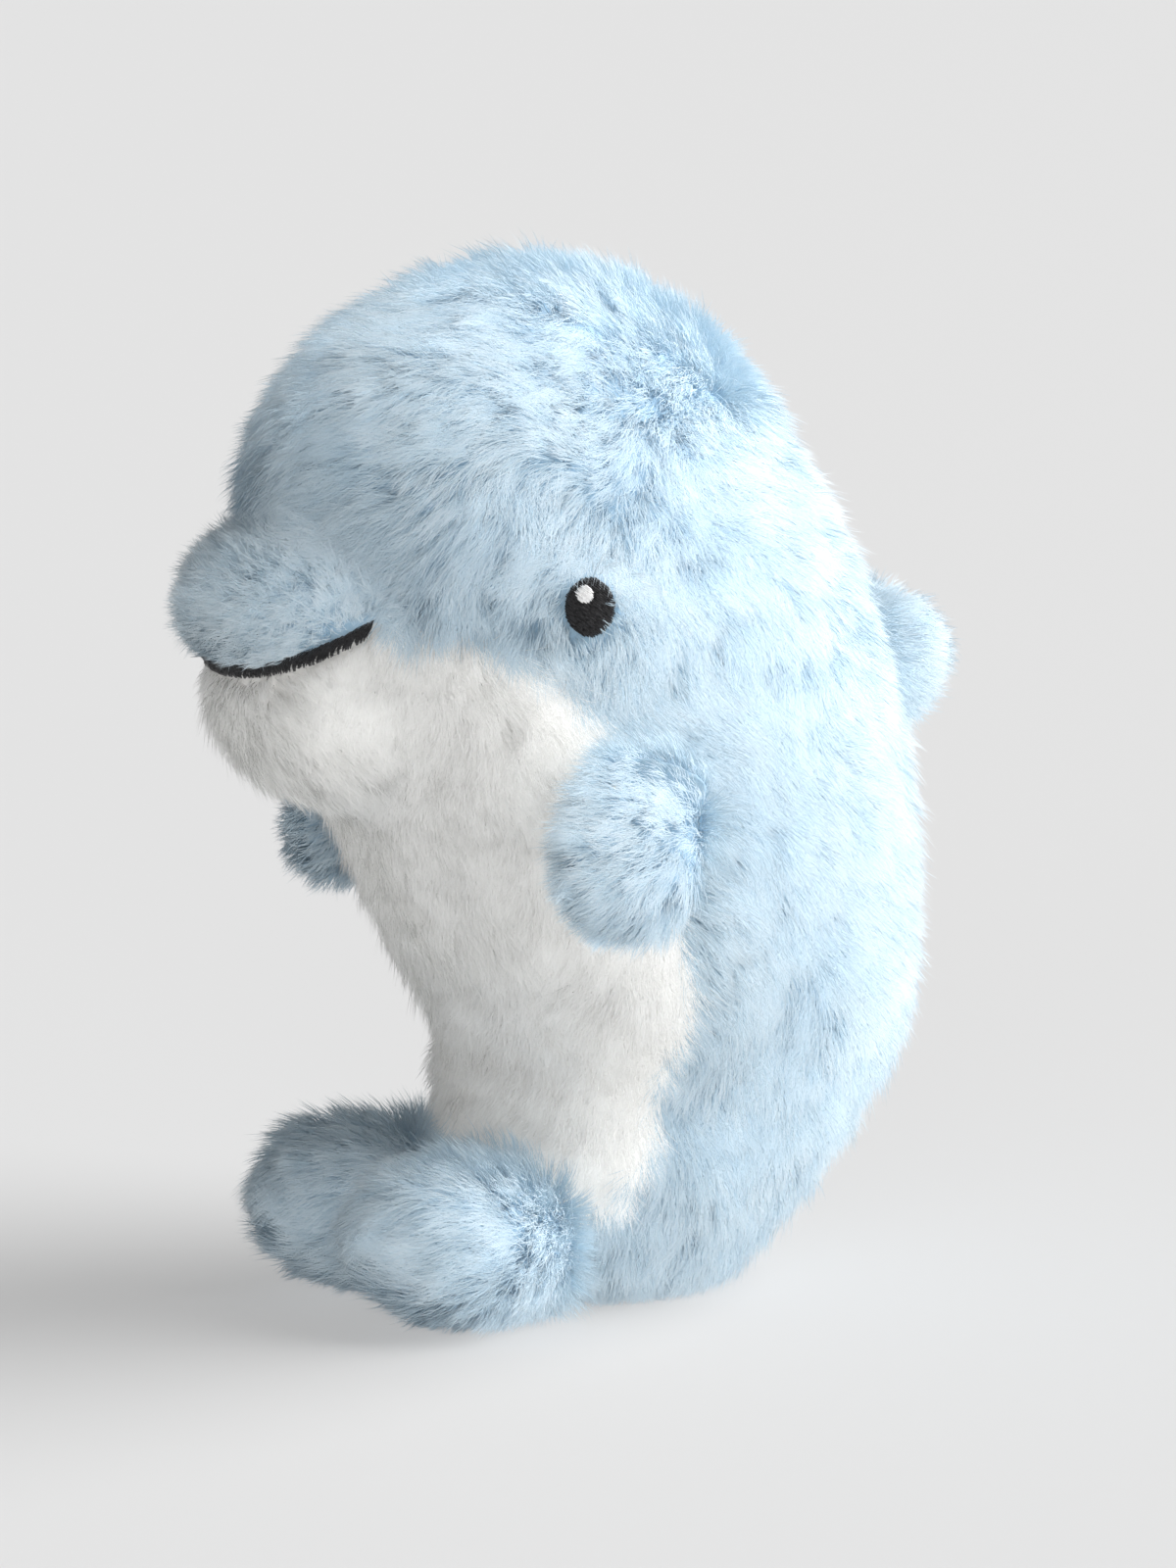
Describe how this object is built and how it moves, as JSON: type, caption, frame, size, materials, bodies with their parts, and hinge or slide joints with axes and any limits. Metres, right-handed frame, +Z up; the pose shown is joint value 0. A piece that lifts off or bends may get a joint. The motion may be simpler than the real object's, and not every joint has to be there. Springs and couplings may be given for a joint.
{
  "type": "plush dolphin",
  "caption": "Upright long-pile plush dolphin, pale blue with a white front, short beak, springy flippers and dorsal fin, and puffed tail flukes that it stands on.",
  "frame": {"origin": "on the floor, at the middle of the toy's length and width", "axes": "+Z up; the beak points to -Y; the toy's left side is +X"},
  "size_m": [0.1526, 0.2041, 0.243],
  "materials": {
    "blue_plush": "matte",
    "white_plush": "matte",
    "black_thread": "satin",
    "white_thread": "satin",
    "fibre_stuffing": "matte",
    "calico": "matte",
    "pellets": "satin"
  },
  "bodies": {
    "body": {"left_side_panel": "blue_plush", "right_side_panel": "blue_plush", "upper_beak_panel": "blue_plush", "chin_panel": "white_plush", "chest_panel": "white_plush", "lower_belly_panel": "white_plush", "mouth_stitch": "black_thread", "left_eye": "black_thread", "right_eye": "black_thread", "left_eye_highlight": "white_thread", "right_eye_highlight": "white_thread", "body_stuffing": "fibre_stuffing", "pellet_pouch_cup": "calico", "pellet_pouch_cover": "calico", "pellet_fill": "pellets"},
    "left_flipper": {"left_flipper_outer_panel": "blue_plush", "left_flipper_inner_panel": "blue_plush", "left_flipper_stuffing": "fibre_stuffing"},
    "right_flipper": {"right_flipper_outer_panel": "blue_plush", "right_flipper_inner_panel": "blue_plush", "right_flipper_stuffing": "fibre_stuffing"},
    "dorsal_fin": {"dorsal_fin_left_panel": "blue_plush", "dorsal_fin_right_panel": "blue_plush", "dorsal_fin_stuffing": "fibre_stuffing"},
    "left_fluke": {"left_fluke_top_panel": "blue_plush", "left_fluke_bottom_panel": "blue_plush", "left_fluke_stuffing": "fibre_stuffing"},
    "right_fluke": {"right_fluke_top_panel": "blue_plush", "right_fluke_bottom_panel": "blue_plush", "right_fluke_stuffing": "fibre_stuffing"}
  },
  "joints": [
    {"name": "left_flipper_seam", "type": "hinge", "parent": "body", "child": "left_flipper", "pos_m": [0.06779, -0.02304, 0.138], "axis": [-0.3029, -0.953, 0], "range_deg": [0, 50], "stiffness_Nm_per_rad": 0.02},
    {"name": "right_flipper_seam", "type": "hinge", "parent": "body", "child": "right_flipper", "pos_m": [-0.06711, -0.0202, 0.131], "axis": [-0.3029, 0.953, 0], "range_deg": [0, 50], "stiffness_Nm_per_rad": 0.02},
    {"name": "dorsal_fin_seam", "type": "hinge", "parent": "body", "child": "dorsal_fin", "pos_m": [0, 0.0713, 0.141], "axis": [0, -0.2849, 0.9586], "range_deg": [-30, 30], "stiffness_Nm_per_rad": 0.01},
    {"name": "left_fluke_seam", "type": "hinge", "parent": "body", "child": "left_fluke", "pos_m": [0.013, -0.033, 0.037], "axis": [-1, 0, 0], "range_deg": [0, 25], "stiffness_Nm_per_rad": 0.05},
    {"name": "right_fluke_seam", "type": "hinge", "parent": "body", "child": "right_fluke", "pos_m": [-0.013, -0.033, 0.037], "axis": [-1, 0, 0], "range_deg": [0, 25], "stiffness_Nm_per_rad": 0.05}
  ]
}
